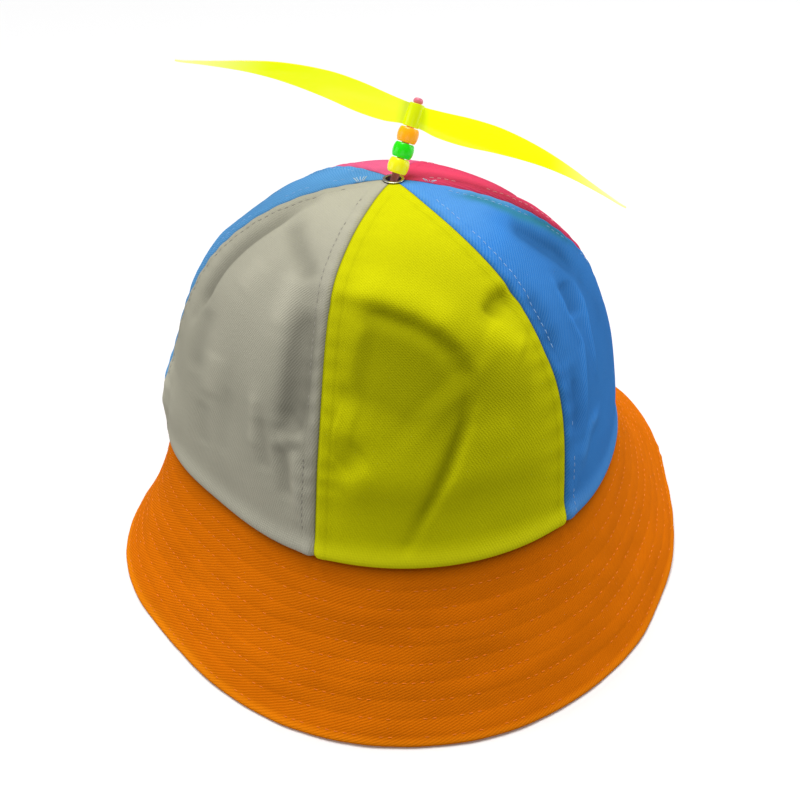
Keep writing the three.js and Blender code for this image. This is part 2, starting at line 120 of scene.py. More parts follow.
# A panel's first seam: azimuths at rises 0, 1/3, 2/3 and 1
SEAMS = {
    "panel_yellow": [-30, -29, -33, -38],
    "panel_blue": [31, 34, 30.5, 25.5],
    "panel_red": [95, 92, 83.5, 83],
    "panel_pink": [150, 150, 154, 160],
    "panel_light_blue": [210, 208, 205, 203],
    "panel_grey": [266, 264, 261.5, 256],
}
PANELS = list(SEAMS)

# Folds and creases: width and depth in millimetres (inwards if negative), lean, and the
# azimuths and rises of the line it follows. A lean over 0 makes the side to the left of
# that line steeper and the other gentler.
FOLDS = [
    # yellow: the dent under its bright top, the ridge above it and the long crease below
    (4.6, -3.8, 0.3, [(-27, 0.574), (-13.5, 0.563), (-4.5, 0.538), (2, 0.502), (6, 0.462),
                      (8, 0.41), (8, 0.34)]),
    (17, -3, 0, [(-22, 0.47), (-12, 0.46), (-3, 0.41), (3, 0.34)]),
    (8, 1.6, 0, [(-29, 0.626), (-15, 0.612), (-5, 0.59), (2, 0.558), (9, 0.5)]),
    (2.6, -2.5, 0.2, [(7.5, 0.43), (8, 0.36), (6, 0.296), (3, 0.244), (0.5, 0.196),
                      (-2.5, 0.144), (-5.5, 0.1), (-9, 0.04)]),
    (5, 0.5, 0, [(9.5, 0.3), (6, 0.235), (2, 0.165), (-2, 0.11)]),
    (6, 0.5, 0, [(8, 0.245), (13, 0.26), (18, 0.262)]),
    (3.4, -2.4, 0.2, [(18, 0.53), (24, 0.556), (31, 0.56)]),
    (6, 1.4, 0, [(16, 0.5), (22, 0.46), (27, 0.42)]),
    (6, 0.8, 0, [(-25, 0.31), (-20, 0.3)]),
    (6, -1.1, 0, [(-25, 0.365), (-16, 0.385)]),
    (4.5, 0.7, 0, [(-16, 0.204), (-22.5, 0.144)]),
    (4.5, -0.9, 0, [(-24, 0.2), (-18.5, 0.256)]),
    (8, -1, 0.2, [(-26, 0.125), (-8.5, 0.118), (12, 0.125), (28, 0.125)]),
    # grey
    (3.6, -2.3, 0.15, [(-87, 0.78), (-84, 0.69), (-84, 0.6), (-83.5, 0.52), (-82.5, 0.44), (-83, 0.37)]),
    (3.6, -1.6, 0, [(-76, 0.73), (-66, 0.7), (-55, 0.668), (-46, 0.64), (-41, 0.6)]),
    (6, 0.6, 0, [(-68, 0.5), (-65, 0.604)]),
    (5, 0.9, 0, [(-50, 0.62), (-47, 0.55), (-46.5, 0.46)]),
    (5.5, -3, 0, [(-38.5, 0.56), (-37.5, 0.46), (-36.5, 0.37), (-36.5, 0.3), (-38.5, 0.24)]),
    (2.8, -1.2, 0.2, [(-42, 0.24), (-37, 0.262), (-33, 0.275)]),
    (2.6, 0.9, 0, [(-40.5, 0.215), (-36.5, 0.235), (-32.5, 0.25)]),
    (2.4, 0.8, 0, [(-49, 0.31), (-48, 0.232), (-47.5, 0.17)]),
    (3.2, -1, 0, [(-46.5, 0.26), (-44.5, 0.19), (-43.5, 0.13)]),
    (2.8, 1, 0, [(-34.5, 0.224), (-34.2, 0.15), (-33.5, 0.07)]),
    (3.2, -1.3, 0, [(-40, 0.22), (-38, 0.16), (-36.8, 0.09)]),
    (5.5, -0.5, 0, [(-69, 0.2), (-67.5, 0.09)]),
    (5.5, -0.5, 0, [(-60, 0.28), (-59.5, 0.1)]),
    (6.5, 0.7, 0, [(-67.5, 0.336), (-65.5, 0.216)]),
    (6, -0.9, 0, [(-78, 0.42), (-74, 0.24)]),
    (10.8, 3, 0, [(-112, 0.12), (-88, 0.07)]),
    # blue
    (6.5, -2.6, 0.2, [(63, 0.7), (66, 0.64), (67.5, 0.592), (71, 0.536), (71, 0.45)]),
    (1.7, 1, 0, [(63.5, 0.452), (57, 0.348), (53.5, 0.252)]),
    (1.7, 1, 0, [(52, 0.516), (49.5, 0.436), (50, 0.344), (45.5, 0.268), (41, 0.16)]),
    (2.8, -1, 0, [(41, 0.3), (39.5, 0.244), (37.5, 0.156)]),
    (2.4, 0.8, 0, [(50.5, 0.16), (44, 0.152), (37.5, 0.084)]),
    (4, -1.6, 0, [(37, 0.54), (36.5, 0.44), (37, 0.36)]),
    (6, -1.5, 0, [(57, 0.5), (53, 0.4)]),
    # red, pink and light blue
    (9, -1.4, 0, [(108, 0.62), (118, 0.2)]),
    (3.5, -1.1, 0.2, [(100, 0.74), (112, 0.5)]),
    (3, 0.8, 0, [(128, 0.5), (126, 0.2)]),
    (2.5, -0.8, 0, [(136, 0.62), (140, 0.36)]),
    (9, -1.4, 0, [(172, 0.6), (182, 0.25)]),
    (3, -0.8, 0, [(165, 0.4), (160, 0.12)]),
    (3, 0.7, 0, [(196, 0.5), (192, 0.2)]),
    (9, -1.5, 0, [(232, 0.6), (240, 0.2)]),
    (3, -0.9, 0.2, [(222, 0.4), (226, 0.12)]),
    (3, 0.9, 0, [(250, 0.55), (256, 0.3)]),
    (4, -1.2, 0, [(216, 0.7), (226, 0.52)]),
]
# Painted shade where under 0 and painted light where over 0, at places without a fold, in the same form
PAINTED_SHADES = [
    (15, -0.4, 0, [(-25, 0.46), (-12, 0.45), (0, 0.38), (6, 0.3)]),
    (10, -0.35, 0, [(12, 0.43), (18, 0.36), (27, 0.33)]),
    (6, -0.4, 0, [(-37, 0.48), (-37, 0.35), (-36, 0.18)]),
    (9, -0.25, 0, [(63, 0.6), (68, 0.4), (70, 0.3)]),
]
FOLD_START = 0.05
FOLD_END = 0.85
FULL_PAINTED_SHADE_DEPTH = 3.4 * MM  # a fold this deep gets the darkest painted shade
# Painted shade on the middle of the crown, whose sides turn away from the overhead light
MIDDLE_PAINTED_SHADE = 0.32
SHADE_WIDTH = 0.5 * MM  # of the painted shade along seams and rows of stitches
# Painted highlight on the crown's hem, which turns up towards the light
HEM_PAINTED_LIGHT_HEIGHT = 4 * MM
HEM_PAINTED_LIGHT_REACH = 4.5 * MM

# Painted shadow of the yellow blade, a greenish band on the blue panel beside the red one: width, strength,
# then as above
BLADE_SHADOW_BAND = (2.6, 1, 0, [(66, 0.83), (72.5, 0.784), (74, 0.688), (80.5, 0.58), (84, 0.5)])
# Painted highlight along the blue panel's raised edge at the red seam, in the same form
SEAM_PAINTED_HIGHLIGHT = (2.4, 1, 0, [(78, 0.83), (80, 0.79), (81, 0.7), (86, 0.6), (89, 0.48)])

# Blade, by share of its reach: chord as a share of BLADE_CHORD, pitch in degrees, and the
# height of its middle above the hub's bottom as a share of HUB_LENGTH
BLADE = [
    (0, 0.72, 80, 0.5),
    (0.05, 0.75, 80, 0.49),
    (0.12, 0.9, 79, 0.45),
    (0.24, 1, 76, 0.52),
    (0.36, 0.94, 69, 0.61),
    (0.48, 0.83, 59, 0.59),
    (0.6, 0.69, 49, 0.49),
    (0.72, 0.51, 41, 0.28),
    (0.84, 0.3, 34, -0.02),
    (0.94, 0.15, 30, -0.27),
    (1, 0.09, 28, -0.44),
]

# Cloth details
SEAM_PINCH = 1.1 * MM  # half width of the valley at a seam
ALLOWANCE_WIDTH = 5.6 * MM  # folded cloth under the panel beside a seam
ALLOWANCE_RISE = 0.32 * MM
ALLOWANCE_EDGE = 1.2 * MM
STITCH_OFFSET = 4.8 * MM  # stitches from their seam
STITCH_DIP = 0.22 * MM
STITCH_DIP_WIDTH = 0.6 * MM
PUCKER = 0.16 * MM
PUCKER_LENGTH = 7.5 * MM
PUCKER_REACH = 9 * MM  # from the seam
SOFTNESS = 0.55 * MM  # gentle unevenness of the whole cloth
SOFTNESS_SIZE = 26 * MM
EDGE_FLARE = 1.7 * MM  # the crown's edge swells over the brim
EDGE_FLARE_REACH = 5 * MM
EDGE_ROLL = 1.6 * MM  # and turns in under itself
EDGE_ROLL_HEIGHT = 2.6 * MM
TOP_START = 0.97  # rise above which the cloth is plain, beside the eyelet
PANEL_COLUMNS = 96
PANEL_ROWS = 130
COLUMN_CROWDING = 0.72  # how much closer the columns are by a seam, from 0 to 1
ROW_CROWDING = 1.35  # over 1, the rows are closer together lower down

# Brim details
BRIM_COLUMNS = 420
BRIM_ROWS = 84
BRIM_EDGE_STEPS = 8
BRIM_UNDER_ROWS = 30
HEM_OFFSET = 4.6 * MM  # the outermost row of stitches from the edge
ROW_SPACING = 6.8 * MM
ROW_COUNT = 9
ROW_DIP = 0.11 * MM
ROW_DIP_WIDTH = 0.75 * MM
QUILTING = 0.035 * MM
BRIM_SEAM_AZIMUTH = 99
BRIM_SOFTNESS = 0.7 * MM
BRIM_SMALL_SOFTNESS = 0.22 * MM
HEM_RISE = 0.2 * MM
BRIM_SEAM_DIP = 0.8 * MM
TWILL_RADIUS = 105 * MM  # where the weave across the brim has its true width

# Weave, and how far painted shade darkens and painted light brightens colours
TWILL_PITCH = 0.85 * MM
BRIM_TWILL_PITCH = 1.0 * MM
YARN_PITCH = 0.55 * MM
CLOTH_DARKEST = 0.5
PLASTIC_DARKEST = 0.8
BRIGHTEST = 0.65

# Thread
THREAD_RADIUS = 0.2 * MM
STITCH_LENGTH = 2.5 * MM
STITCH_PITCH = 3.3 * MM
LOOSE_THREADS = 7
LOOSE_LENGTH = 2.2 * MM

# Cloth colours: main, in the weave's hollows, on its ribs (also the colour of painted highlights), and the
# ribs' angle
CLOTH = {
    "panel_yellow": ((0.7, 0.69, 0.001), (0.6, 0.6, 0.0), (0.86, 0.85, 0.01), 35),
    "panel_blue": ((0.026, 0.24, 0.74), (0.014, 0.185, 0.64), (0.16, 0.43, 0.86), -55),
    "panel_red": ((0.82, 0.04, 0.13), (0.72, 0.025, 0.1), (0.95, 0.16, 0.28), -40),
    "panel_pink": ((0.86, 0.1, 0.26), (0.76, 0.07, 0.2), (0.96, 0.28, 0.44), -40),
    "panel_light_blue": ((0.09, 0.34, 0.7), (0.065, 0.27, 0.6), (0.22, 0.49, 0.83), -50),
    "panel_grey": ((0.5, 0.48, 0.37), (0.42, 0.4, 0.305), (0.62, 0.6, 0.49), -20),
    "brim": ((0.8, 0.165, 0.001), (0.7, 0.13, 0.0), (0.94, 0.28, 0.004), 62),
}
# Colour of the blade's painted shadow on the blue panel
BLADE_SHADOW_TEAL = (0.04, 0.25, 0.3)
# Thread colours: in its twist's hollows and on its strands
THREADS = {
    "panel_blue": ((0.2, 0.44, 0.8), (0.42, 0.63, 0.9)),
    "panel_red": ((0.9, 0.3, 0.4), (0.98, 0.6, 0.66)),
    "panel_pink": ((0.78, 0.12, 0.24), (0.95, 0.38, 0.5)),
    "panel_light_blue": ((0.16, 0.42, 0.78), (0.34, 0.6, 0.9)),
    "panel_grey": ((0.24, 0.22, 0.18), (0.42, 0.4, 0.34)),
    "brim": ((0.78, 0.17, 0.003), (0.92, 0.26, 0.01)),
}
WHITE_THREAD = ((0.78, 0.8, 0.82), (0.94, 0.95, 0.96))
PALE_BLUE_THREAD = ((0.5, 0.72, 0.86), (0.75, 0.88, 0.95))
# Plastics: colour and its deeper streaks
STICK = ((0.78, 0.2, 0.27), (0.7, 0.15, 0.21))
BEADS = {
    "bead_yellow": ((0.82, 0.8, 0.01), (0.75, 0.7, 0.0)),
    "bead_green": ((0.02, 0.72, 0.004), (0.01, 0.6, 0.002)),
    "bead_orange": ((1.0, 0.42, 0.003), (0.94, 0.33, 0.002)),
}
PROPELLER = ((0.76, 0.88, 0.0), (0.7, 0.82, 0.0))
# Pale colour of the painted light on the blade tips
PROPELLER_TIP_PAINTED_LIGHT = (0.96, 0.98, 0.4)
PLATING_DULL = (0.55, 0.52, 0.47)
PLATING_BRIGHT = (0.85, 0.84, 0.8)

# Camera, at the photograph's angle, light and floor
CAMERA_AZIMUTH = math.radians(-9.816)
CAMERA_ELEVATION = math.radians(34.828)
CAMERA_DISTANCE = 0.45
CAMERA_LENS = 48.31
CAMERA_SENSOR = 36
TARGET = CENTRE + np.array([-0.7, 6.346, 3.847]) * MM
LIGHT_AIM = (0, 0, 0.09)
WORLD_LIGHT = 0.21
FLOOR = 30.0
FLOOR_COLOUR = (0.9, 0.9, 0.9, 1)


# Smooth values out of the tables

def blend(before, a, b, after, share):
    slope_a = (b - before) / 2
    slope_b = (after - a) / 2
    s2 = share * share
    s3 = s2 * share
    return (a * (2 * s3 - 3 * s2 + 1) + slope_a * (s3 - 2 * s2 + share)
            + b * (3 * s2 - 2 * s3) + slope_b * (s3 - s2))


def around(column, azimuth):
    values = np.array(AROUND[column])
    count = len(values)
    place = np.mod(azimuth, 360) / 360 * count
    index = np.floor(place).astype(int)
    near = [values[(index + step) % count] for step in (-1, 0, 1, 2)]
    return blend(*near, place - index)


def along(values, share):
    values = np.array(values, float)
    last = len(values) - 1
    place = np.clip(share, 0, 1) * last
    index = np.minimum(np.floor(place).astype(int), last - 1)
    near = [values[np.clip(index + step, 0, last)] for step in (-1, 0, 1, 2)]
    return blend(*near, place - index)


def smoothstep(x, low, high):
    share = np.clip((x - low) / (high - low), 0, 1)
    return share * share * (3 - 2 * share)


def signed_turn(degrees):
    """The same angle between -180 and 180 degrees."""
    return np.mod(degrees + 180, 360) - 180


def unit(vectors):
    return vectors / np.linalg.norm(vectors, axis=-1, keepdims=True)


def soft_noise(points, size, seed):
    """Smooth unevenness from about -1 to 1 at each point, in waves of about that size."""
    flat = points.reshape(-1, 3) / size + seed
    values = [noise.noise(Vector(p), noise_basis="PERLIN_NEW") for p in flat.tolist()]
    return np.array(values).reshape(points.shape[:-1])


# The dome, as offsets from CENTRE

def height_at(rise):
    return CROWN_HEIGHT * np.sin(rise * math.pi / 2) ** UPRIGHT


def rise_at(height):
    return math.asin((height / CROWN_HEIGHT) ** (1 / UPRIGHT)) * 2 / math.pi


def dome(azimuth, rise):
    tilt = rise * math.pi / 2
    up = height_at(rise) / CROWN_HEIGHT
    edge = around("edge", azimuth)
    edge = edge + (1 - edge) * up ** ROUND_TOP
    swelling = (FULLNESS + around("belly", azimuth)) * np.sin(2 * tilt) + WAIST * np.sin(4 * tilt)
    radius = CROWN_RADIUS * edge * np.maximum(np.cos(tilt), 0) ** SHOULDER * (1 + swelling)
    turn = np.radians(azimuth)
    x = radius * np.sin(turn) + APEX_SHIFT[0] * CROWN_RADIUS * up
    y = -radius * np.cos(turn) + APEX_SHIFT[1] * CROWN_RADIUS * up
    return np.stack([x, y, CROWN_HEIGHT * up], axis=-1)


def dome_normal(azimuth, rise):
    step = 0.004
    low = dome(azimuth, np.maximum(rise - step, 0))
    high = dome(azimuth, rise + step)
    left = dome(azimuth - 1, rise)
    right = dome(azimuth + 1, rise)
    return unit(np.cross(right - left, high - low))


def apex_radius(azimuth, rise):
    point = dome(azimuth, rise)
    up = point[..., 2:] / CROWN_HEIGHT
    return np.linalg.norm(point[..., :2] - APEX_SHIFT * CROWN_RADIUS * up, axis=-1)


def fold_depth(fold, azimuth, rise):
    """How far one fold moves the cloth at a place."""
    width, depth, lean, places = fold
    circle = CROWN_RADIUS * np.cos(rise * math.pi / 2)
    climb = CROWN_RADIUS * math.pi / 2
    to_start = signed_turn(places[0][0] - azimuth)
    flat = []
    for place_azimuth, place_rise in places:
        side = np.radians(to_start + place_azimuth - places[0][0]) * circle
        flat.append(np.stack([side, (place_rise - rise) * climb], axis=-1))
    nearest = np.full(azimuth.shape, np.inf)
    place = np.zeros(azimuth.shape)
    for number, (start, end) in enumerate(zip(flat, flat[1:])):
        line = end - start
        share = np.clip(-(start * line).sum(-1) / (line * line).sum(-1), 0, 1)
        distance = np.linalg.norm(start + line * share[..., None], axis=-1)
        left = line[..., 1] * start[..., 0] - line[..., 0] * start[..., 1]
        left /= np.linalg.norm(line, axis=-1)
        side_width = width * MM * (1 - lean * np.tanh(left / MM))
        closer = distance / side_width < nearest
        nearest = np.where(closer, distance / side_width, nearest)
        place = np.where(closer, (number + share) / (len(flat) - 1), place)
    taper = 0.35 + 0.65 * smoothstep(0.5 - np.abs(place - 0.5), 0, 0.2)
    return depth * MM * taper * np.exp(-nearest ** 2)


def fold_offset(azimuth, rise):
    depths = [fold_depth(fold, azimuth, rise) for fold in FOLDS]
    # Where folds meet, the strongest one counts most
    out = sum(np.maximum(depth, 0) ** 3 for depth in depths) ** (1 / 3)
    into = sum(np.maximum(-depth, 0) ** 3 for depth in depths) ** (1 / 3)
    offset = out - into
    fade_in = smoothstep(rise, 0, FOLD_START)
    fade_out = 1 - smoothstep(rise, FOLD_END - FOLD_START, FOLD_END)
    return offset * fade_in * fade_out


def cloth_painted_light(azimuth, rise, inward):
    """From -1, painted shade in folds, seams and rows of stitches, to 1, painted highlight on
    ridges and the crown's hem. Painted shade makes the middle of the crown darker than its top and hem."""
    height = height_at(rise)
    # Painted shade in folds and painted highlight on ridges, by their depth, then the table of painted
    # shades
    shade = fold_offset(azimuth, rise) / FULL_PAINTED_SHADE_DEPTH
    shade += sum(fold_depth(painted_shade_stroke, azimuth, rise) for painted_shade_stroke in PAINTED_SHADES) / MM
    shade -= MIDDLE_PAINTED_SHADE * smoothstep(rise, 0.08, 0.3) * (1 - smoothstep(rise, 0.58, FOLD_END))
    # Painted shade along the seams and the rows of stitches
    seam = np.exp(-(inward / SHADE_WIDTH) ** 2)
    row = np.exp(-((inward - STITCH_OFFSET) / SHADE_WIDTH) ** 2)
    row *= 1 - smoothstep(rise, FOLD_END, TOP_START)
    # Painted highlight on the hem, strongest at the front
    hem = np.exp(-((height - HEM_PAINTED_LIGHT_HEIGHT) / HEM_PAINTED_LIGHT_REACH) ** 2)
    hem *= 0.35 + 0.65 * np.exp(-(signed_turn(azimuth) / 38) ** 4)
    return np.clip(shade - 0.9 * seam - 0.12 * row + hem, -1, 1)


def seam_azimuth(panel, rise):
    return along(SEAMS[PANELS[panel % 6]], rise) + 360 * (panel // 6)


def column_place(panel, share, rise):
    """Azimuth of a share of the way across a panel, its distance in from the nearer
    seam, and its signed distance from the panel's middle."""
    start = seam_azimuth(panel, rise)
    width = seam_azimuth(panel + 1, rise) - start
    per_degree = math.radians(1) * np.maximum(apex_radius(start, rise), 3 * MM)
    edge = GAP / 6 / per_degree
    across = edge + (width - 2 * edge) * share
    inward = np.minimum(across, width - across) * per_degree
    return start + across, inward, (across - width / 2) * per_degree


def crown_cloth(azimuth, rise, inward):
    """Outer side of the cloth and its direction, in place. inward is the distance from a seam."""
    point = dome(azimuth, rise)
    normal = dome_normal(azimuth, rise)
    height = point[..., 2]
    below_top = 1 - smoothstep(rise, FOLD_END, TOP_START)
    offset = fold_offset(azimuth, rise)
    pinch = SEAM_DEPTH * np.exp(-(inward / SEAM_PINCH) ** 2)
    beyond = smoothstep(inward, ALLOWANCE_WIDTH - ALLOWANCE_EDGE, ALLOWANCE_WIDTH + ALLOWANCE_EDGE)
    allowance = ALLOWANCE_RISE * (1 - beyond)
    row = STITCH_DIP * np.exp(-((inward - STITCH_OFFSET) / STITCH_DIP_WIDTH) ** 2)
    offset += (allowance - pinch - row) * below_top
    run = rise * CROWN_RADIUS * math.pi / 2
    wave = np.sin(2 * math.pi * run / PUCKER_LENGTH + 3 * soft_noise(point, 20 * MM, 3.1))
    beside_seam = np.exp(-(inward / PUCKER_REACH) ** 2) * smoothstep(inward, 0, 2 * MM)
    offset += PUCKER * wave * beside_seam * below_top
    uneven = soft_noise(point, SOFTNESS_SIZE, 4.1)
    offset += SOFTNESS * uneven * smoothstep(rise, 0, 0.1) * below_top
    offset += EDGE_FLARE * np.exp(-((height - EDGE_ROLL_HEIGHT) / EDGE_FLARE_REACH) ** 2)
    roll = np.clip(1 - height / EDGE_ROLL_HEIGHT, 0, 1)
    offset -= (EDGE_ROLL + EDGE_FLARE) * roll ** 2
    return CENTRE + point + normal * offset[..., None], normal


# Meshes

def plain_object(name, vertices, faces):
    mesh = bpy.data.meshes.new(name)
    mesh.from_pydata(vertices.tolist(), [], [tuple(f) for f in faces])
    mesh.update()
    made = bpy.data.objects.new(name, mesh)
    bpy.context.scene.collection.objects.link(made)
    return made


def add_mesh(name, vertices, faces, body, replaced=(), corner_uv=None):
    piece = plain_object(name, vertices, faces)
    mesh = piece.data
    if corner_uv is not None:
        layer = mesh.uv_layers.new(name="cloth")
        layer.data.foreach_set("uv", np.asarray(corner_uv, np.float32).ravel())
    mesh.polygons.foreach_set("use_smooth", [True] * len(mesh.polygons))
    mesh.update()
    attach(piece, body)
    if replaced:
        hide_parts(*replaced)
    return piece


def add_values(piece, name, values):
    """A number for each vertex, for the material to use."""
    layer = piece.data.attributes.new(name, "FLOAT", "POINT")
    layer.data.foreach_set("value", np.asarray(values, np.float32).ravel())


def grid_faces(rows, columns, start=0, flip=False):
    r, c = np.meshgrid(np.arange(rows - 1), np.arange(columns - 1), indexing="ij")
    a = (start + r * columns + c).ravel()
    faces = np.stack([a, a + 1, a + columns + 1, a + columns], axis=-1)
    return faces[:, ::-1] if flip else faces


def turned_mesh(outline, sides):
    """Turned body about +Z from a closed outline of (radius, height) points off the axis."""
    outline = np.array(outline)
    turns = np.linspace(0, 2 * math.pi, sides, endpoint=False)
    ring = np.stack([np.cos(turns), np.sin(turns)], axis=-1)
    count = len(outline)
    vertices = np.array([[r * c, r * s, h] for c, s in ring for r, h in outline])
    faces = []
    for side in range(sides):
        here, after = side * count, (side + 1) % sides * count
        for k in range(count):
            k2 = (k + 1) % count
            faces.append((here + k, after + k, after + k2, here + k2))
    return vertices, np.array(faces)


def rounded(corners, radius, steps=4):
    """An outline's corners turned into small arcs."""
    corners = [np.array(c, float) for c in corners]
    points = []
    for i, corner in enumerate(corners):
        before = corners[i - 1] - corner
        after = corners[(i + 1) % len(corners)] - corner
        cut = min(radius, np.linalg.norm(before) / 2.1, np.linalg.norm(after) / 2.1)
        a = corner + unit(before) * cut
        b = corner + unit(after) * cut
        for step in range(steps + 1):
            t = step / steps
            points.append(a * (1 - t) ** 2 + 2 * corner * t * (1 - t) + b * t * t)
    return points


def on_axis(vertices, origin, axis, turn=0.0):
    """Vertices about +Z set on an axis, turned about it from its downhill side."""
    side = unit(np.array([axis[0] * axis[2], axis[1] * axis[2], -(axis[0] ** 2 + axis[1] ** 2)]))
    third = np.cross(axis, side)
    c, s = math.cos(turn), math.sin(turn)
    x = vertices[:, :1] * c - vertices[:, 1:2] * s
    y = vertices[:, :1] * s + vertices[:, 1:2] * c
    return origin + x * side + y * third + vertices[:, 2:] * axis


def stitch_mesh(starts, ends, normals, radius):
    """One short bowed thread from each start to each end, sunk at both."""
    sides = 6
    along_it = unit(ends - starts)
    side = unit(np.cross(along_it, normals))
    shares = np.array([0.0, 0.22, 0.5, 0.78, 1.0])
    radii = np.array([0.45, 0.95, 1.0, 0.95, 0.45]) * radius
    bow = np.array([-0.8, 0.2, 0.4, 0.2, -0.8]) * radius
    turns = np.linspace(0, 2 * math.pi, sides, endpoint=False)
    middle = starts[:, None] + (ends - starts)[:, None] * shares[:, None] + normals[:, None] * bow[:, None]
    ring = (side[:, None, None] * np.cos(turns)[:, None]
            + normals[:, None, None] * np.sin(turns)[:, None])
    points = middle[:, :, None] + ring * radii[:, None, None]
    count = len(starts)
    vertices = points.reshape(-1, 3)
    base = np.arange(count)[:, None] * len(shares) * sides
    tube = []
    for k in range(len(shares) - 1):
        for j in range(sides):
            j2 = (j + 1) % sides
            tube.append([k * sides + j, k * sides + j2, (k + 1) * sides + j2, (k + 1) * sides + j])
    end = (len(shares) - 1) * sides
    faces = [tuple(f) for f in (base[:, None] + np.array(tube)).reshape(-1, 4)]
    caps = np.array([[*range(sides)][::-1], [end + j for j in range(sides)]])
    faces += [tuple(f) for f in (base[:, None] + caps).reshape(-1, sides)]
    return vertices, faces


# Crown panels

def top_rise(azimuth, radius):
    low = np.full(np.shape(azimuth), 0.5)
    high = np.ones(np.shape(azimuth))
    for _ in range(30):
        middle = (low + high) / 2
        outside = apex_radius(azimuth, middle) > radius
        low = np.where(outside, middle, low)
        high = np.where(outside, high, middle)
    return low


def column_share(share):
    """Closer together by the seams."""
    return share - COLUMN_CROWDING * np.sin(2 * math.pi * share) / (2 * math.pi)


def make_panel(panel):
    name = PANELS[panel]
    shares = column_share(np.linspace(0, 1, PANEL_COLUMNS + 1))[None, :]
    rows = (np.linspace(0, 1, PANEL_ROWS + 1) ** ROW_CROWDING)[:, None]
    top = top_rise(column_place(panel, shares, np.ones_like(shares))[0], CROWN_HOLE)
    rise = rows * top
    azimuth, inward, across = column_place(panel, shares, rise)
    outer, normal = crown_cloth(azimuth, rise, inward)
    inner = outer - normal * CROWN_WALL
    inner[0, :, 2] = outer[0, :, 2]
    rows_count, columns_count = outer.shape[:2]
    count = rows_count * columns_count
    vertices = np.concatenate([outer.reshape(-1, 3), inner.reshape(-1, 3)])
    front = grid_faces(rows_count, columns_count)
    back = grid_faces(rows_count, columns_count, count, flip=True)
    index = np.arange(count).reshape(rows_count, columns_count)
    rim = np.concatenate([index[0, :-1], index[:-1, -1], index[-1, :0:-1], index[:0:-1, 0]])
    rim_after = np.roll(rim, -1)
    edge = np.stack([rim_after, rim, rim + count, rim_after + count], axis=-1)
    faces = np.concatenate([front, back, edge])
    uv = np.stack([across, rise * CROWN_RADIUS * math.pi / 2], axis=-1).reshape(-1, 2)
    uv = np.concatenate([uv, uv])
    piece = add_mesh(name + "_cloth", vertices, faces, "hat", [name], uv[faces])
    tone = cloth_painted_light(azimuth, rise, inward).ravel()
    if name == "panel_blue":
        # Painted greenish shadow of the yellow blade
        blade_shadow = fold_depth(BLADE_SHADOW_BAND, azimuth, rise).ravel() / MM
        # Painted highlight on the raised seam edge, and painted light on the blue panel's upper part
        painted_highlight = fold_depth(SEAM_PAINTED_HIGHLIGHT, azimuth, rise) / MM + 0.6 * smoothstep(rise, 0.6, 0.8)
        tone = np.clip(tone + painted_highlight.ravel(), -1, 1)
        add_values(piece, "blade_shadow", np.concatenate([blade_shadow, 0 * blade_shadow]))
    add_values(piece, "tone", np.concatenate([tone, 0 * tone]))
    return piece


def distances(path):
    """How far along a path each of its points is."""
    steps = np.linalg.norm(np.diff(path, axis=0), axis=1)
    return np.concatenate([[0], np.cumsum(steps)])


def values_at(wanted, run, values):
    return np.stack([np.interp(wanted, run, values[:, k]) for k in range(3)], axis=-1)


def stitches_along(path, direction, places, length, patch, seed, least):
    """Starts, ends and directions of a row's stitches, with gaps where soft noise is low."""
    run = distances(path)
    middle = values_at(places, run, path)
    showing = soft_noise(middle, patch, seed) > least
    end = values_at(places + length, run, path)
    return middle[showing], end[showing], unit(values_at(places, run, direction))[showing]


def make_rows(name, rows, radius):
    starts, ends, normals = (np.concatenate(part) for part in zip(*rows))
    vertices, faces = stitch_mesh(starts, ends, normals, radius)
    return add_mesh(name, vertices, faces, "hat")


def make_topstitch(panel):
    """Rows of stitches along both seams of a panel."""
    rows = []
    for first in (True, False):
        rise = np.linspace(0.012, 0.955, 900)
        start = seam_azimuth(panel, rise)
        width = seam_azimuth(panel + 1, rise) - start
        per_degree = math.radians(1) * np.maximum(apex_radius(start, rise), 3 * MM)
        share = STITCH_OFFSET / per_degree / width
        usable = share < 0.3
        share = share if first else 1 - share
        azimuth, inward, _ = column_place(panel, share, rise)
        path, direction = crown_cloth(azimuth, rise, inward)
        path, direction = path[usable], direction[usable]
        places = np.arange(0, distances(path)[-1] - STITCH_PITCH, STITCH_PITCH * 0.82)
        rows.append(stitches_along(path, direction, places, STITCH_LENGTH * 0.78, 11 * MM, 4.4, -0.12))
    return make_rows(PANELS[panel] + "_stitches", rows, THREAD_RADIUS * 0.8)


def make_loose_threads(panel, rise):
    """Cut ends of sewing thread sticking out of a panel's first seam near the top."""
    number = np.arange(LOOSE_THREADS)
    places = rise + 0.02 * (number / LOOSE_THREADS - 0.5)
    azimuth, inward, _ = column_place(panel, np.zeros(LOOSE_THREADS), places)
    start, normal = crown_cloth(azimuth, places, inward + 2 * MM)
    sideways = unit(np.cross(normal, np.array([0, 0, 1.0])))
    turn = 1.1 * np.sin(7 * number + 1)
    leaning = sideways * np.cos(turn)[:, None] + np.cross(normal, sideways) * np.sin(turn)[:, None]
    end = start + (0.75 * leaning + 0.65 * normal) * LOOSE_LENGTH
    vertices, faces = stitch_mesh(start, end, normal, THREAD_RADIUS * 0.7)
    return add_mesh(PANELS[panel % 6] + "_loose_threads", vertices, faces, "hat")


# Brim

def brim_frame(azimuth):
    """The brim's section at azimuths: inner edge, outward direction, fall and reach for
    each metre down its slope, and its width."""
    flat = np.zeros_like(azimuth)
    edge = dome(azimuth, flat)
    turn = np.radians(azimuth)
    outwards = np.stack([np.sin(turn), -np.cos(turn), flat], axis=-1)
    lift = np.maximum(around("lift", azimuth), 0) * BRIM_WIDTH
    width = around("wide", azimuth) * BRIM_WIDTH
    fall = BRIM_FALL - lift
    reach = np.sqrt(width ** 2 - fall ** 2)
    return edge, outwards, fall / width, reach / width, width


